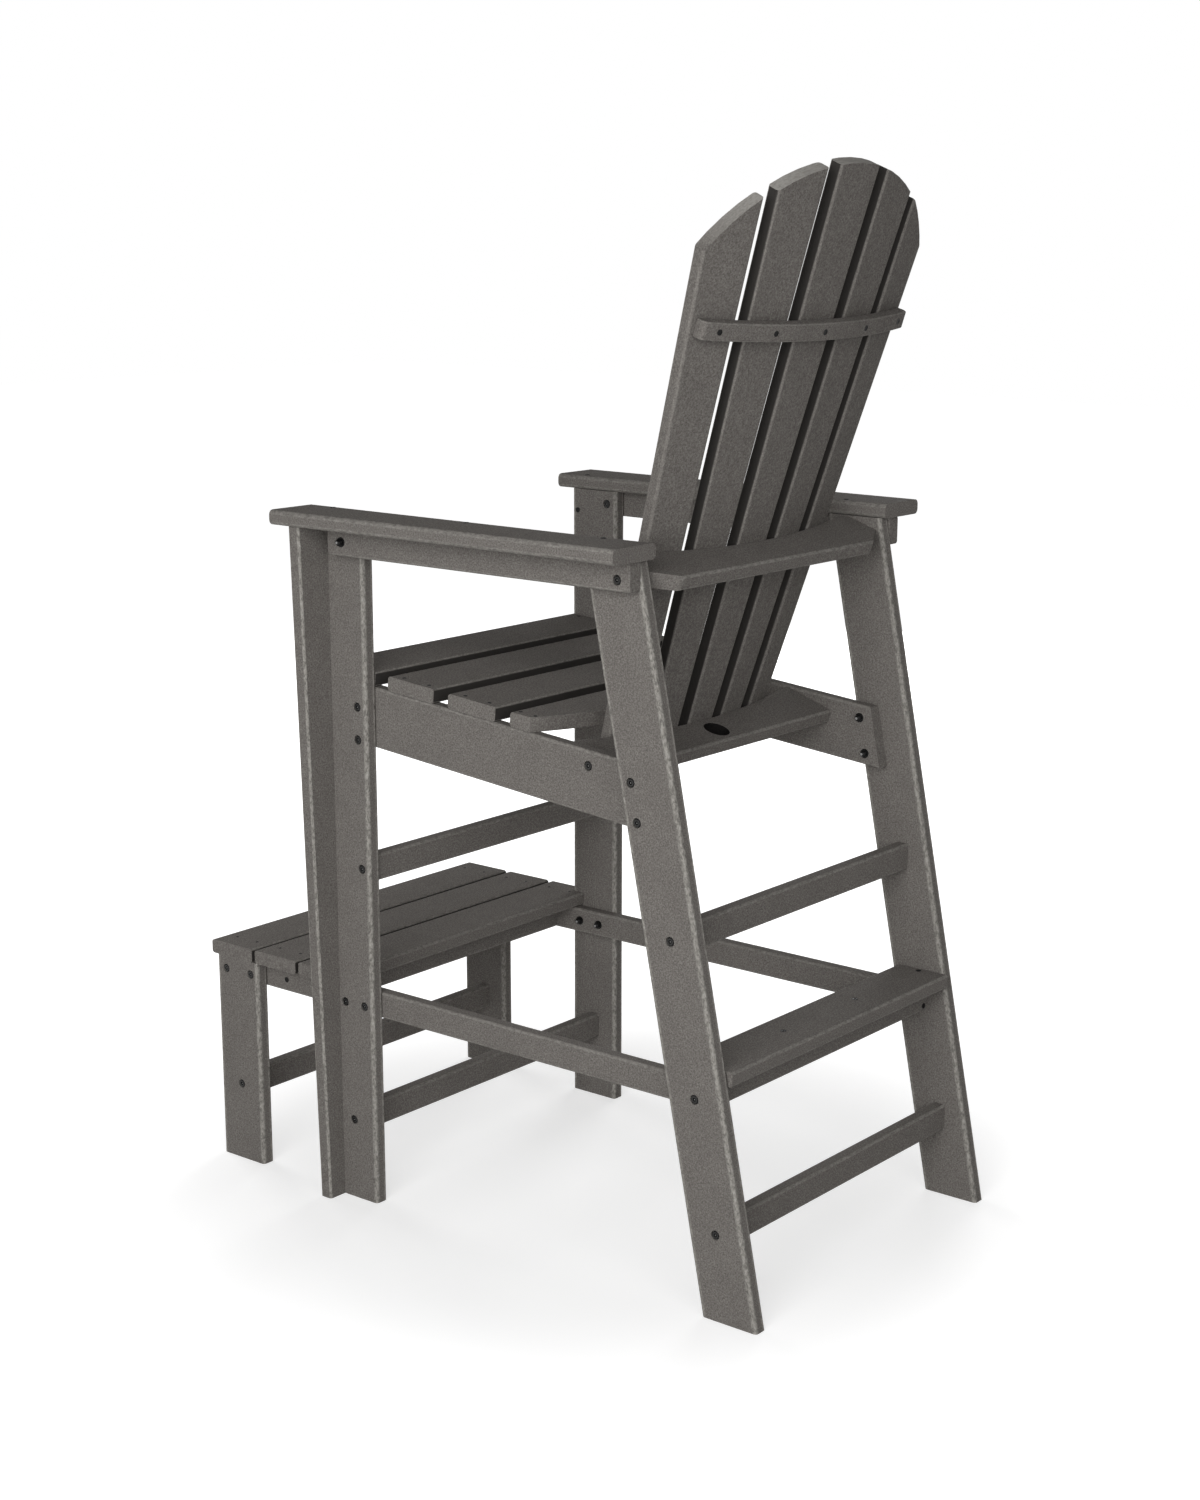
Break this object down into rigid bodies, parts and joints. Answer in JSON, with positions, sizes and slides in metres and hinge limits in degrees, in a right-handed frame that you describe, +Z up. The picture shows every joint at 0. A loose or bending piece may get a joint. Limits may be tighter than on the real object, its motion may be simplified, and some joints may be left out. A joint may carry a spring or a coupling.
{
  "type": "lifeguard chair",
  "caption": "Tall slatted lifeguard chair of plastic lumber with wide armrests, a fanned reclined back, a footrest and ladder rungs behind.",
  "frame": {"origin": "on the floor, under the middle of the chair's footprint box", "axes": "+Z up; the sitter faces -Y, so the footrest is at -Y and the ladder at +Y; +X is the sitter's left"},
  "size_m": [0.7188, 1.048, 1.522],
  "materials": {
    "lumber": "slate grey recycled-plastic lumber with a fine pebbled face and paler rounded edges",
    "bolts": "black coated steel bolts and domed nuts"
  },
  "bodies": {
    "root": {"back_brace": "lumber", "back_slat_1": "lumber", "back_slat_2": "lumber", "back_slat_3": "lumber", "back_slat_4": "lumber", "back_slat_5": "lumber", "footrest_apron_front": "lumber", "footrest_apron_rear": "lumber", "footrest_slat_1": "lumber", "footrest_slat_2": "lumber", "footrest_slat_3": "lumber", "footrest_stretcher": "lumber", "left_arm_rail": "lumber", "left_armrest": "lumber", "left_footrest_leg": "lumber", "left_front_leg_front_board": "lumber", "left_front_leg_side_board": "lumber", "left_rear_leg": "lumber", "left_seat_stringer": "lumber", "left_side_rail": "lumber", "lower_back_support": "lumber", "lower_front_stretcher": "lumber", "lower_rear_rung": "lumber", "right_arm_rail": "lumber", "right_armrest": "lumber", "right_footrest_leg": "lumber", "right_front_leg_front_board": "lumber", "right_front_leg_side_board": "lumber", "right_rear_leg": "lumber", "right_seat_stringer": "lumber", "right_side_rail": "lumber", "seat_slat_1": "lumber", "seat_slat_2": "lumber", "seat_slat_3": "lumber", "seat_slat_4": "lumber", "step_tread": "lumber", "tread_rung": "lumber", "upper_back_support": "lumber", "upper_front_stretcher": "lumber", "upper_rear_rung": "lumber", "left_arm_bolt_front": "bolts", "left_arm_bolt_rear": "bolts", "left_footrest_bolt_1": "bolts", "left_footrest_bolt_2": "bolts", "left_rail_bolt_1": "bolts", "left_rail_bolt_2": "bolts", "left_seat_bolt_front_1": "bolts", "left_seat_bolt_front_2": "bolts", "left_seat_bolt_rear_1": "bolts", "left_seat_bolt_rear_2": "bolts", "right_arm_bolt_front": "bolts", "right_arm_bolt_rear": "bolts", "right_footrest_bolt_1": "bolts", "right_footrest_bolt_2": "bolts", "right_rail_bolt_1": "bolts", "right_rail_bolt_2": "bolts", "right_seat_bolt_front_1": "bolts", "right_seat_bolt_front_2": "bolts", "right_seat_bolt_rear_1": "bolts", "right_seat_bolt_rear_2": "bolts"}
  },
  "joints": []
}
